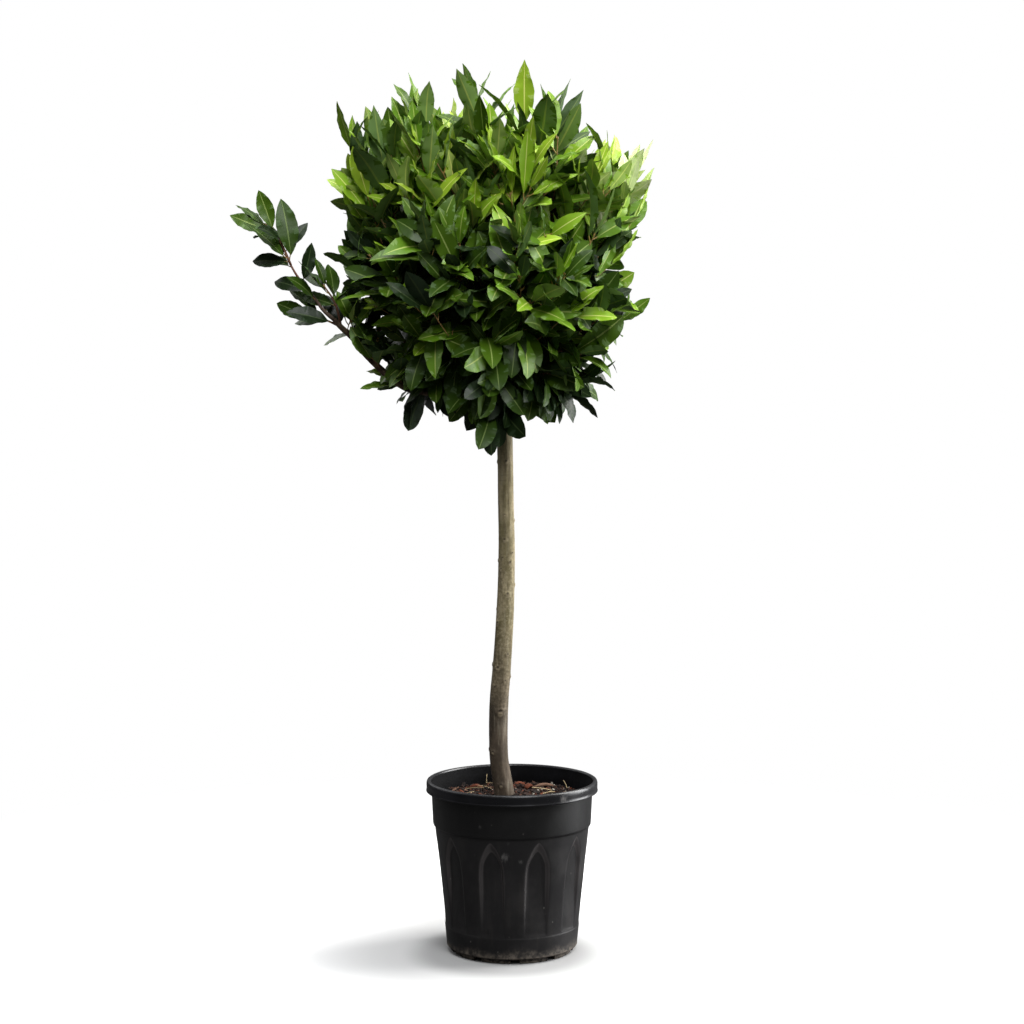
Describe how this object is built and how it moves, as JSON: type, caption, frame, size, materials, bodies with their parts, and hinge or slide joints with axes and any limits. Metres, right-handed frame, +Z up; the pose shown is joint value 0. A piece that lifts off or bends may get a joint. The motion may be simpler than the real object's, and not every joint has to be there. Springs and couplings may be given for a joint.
{
  "type": "potted bay topiary",
  "caption": "Bay tree grown as a standard: a leafy ball of boughs and foliage on one clear, gently swaying stem, in a round black nursery pot with potting mix.",
  "frame": {"origin": "centre of the flat underside of the pot", "axes": "+Z up along the stem, -Y towards the front of the plant, the long shoot leans out to -X"},
  "size_m": [0.677, 0.476, 1.435],
  "materials": {
    "pot": "satin black moulded plastic, a little dusty",
    "potting_mix": "damp crumbly potting mix with bark chips",
    "bark": "smooth grey olive young bark with leaf scars",
    "leaves": "leathery, glossy above and paler below"
  },
  "bodies": {
    "root": {"stem": "bark", "bough_top_left": "bark", "bough_top_right": "bark", "bough_top_back_left": "bark", "bough_top_back_right": "bark", "bough_mid_left": "bark", "bough_mid_front_left": "bark", "bough_mid_front_right": "bark", "bough_mid_right": "bark", "bough_mid_back_left": "bark", "bough_mid_back_right": "bark", "bough_low_left": "bark", "bough_low_front": "bark", "bough_low_right": "bark", "bough_low_back": "bark", "bough_far_left": "bark", "bough_far_left_rise": "bark", "leaves_top_left": "leaves", "leaves_top_middle": "leaves", "leaves_top_right": "leaves", "leaves_upper_left": "leaves", "leaves_upper_right": "leaves", "leaves_top_back_left": "leaves", "leaves_top_back_right": "leaves", "leaves_mid_left": "leaves", "leaves_mid_front_left": "leaves", "leaves_mid_front_right": "leaves", "leaves_mid_right": "leaves", "leaves_mid_back_left": "leaves", "leaves_mid_back_right": "leaves", "leaves_low_left": "leaves", "leaves_low_front": "leaves", "leaves_low_right": "leaves", "leaves_low_back": "leaves", "leaves_far_left_low": "leaves", "leaves_far_left_high": "leaves", "pot": "pot", "potting_mix": "potting_mix"}
  },
  "joints": []
}
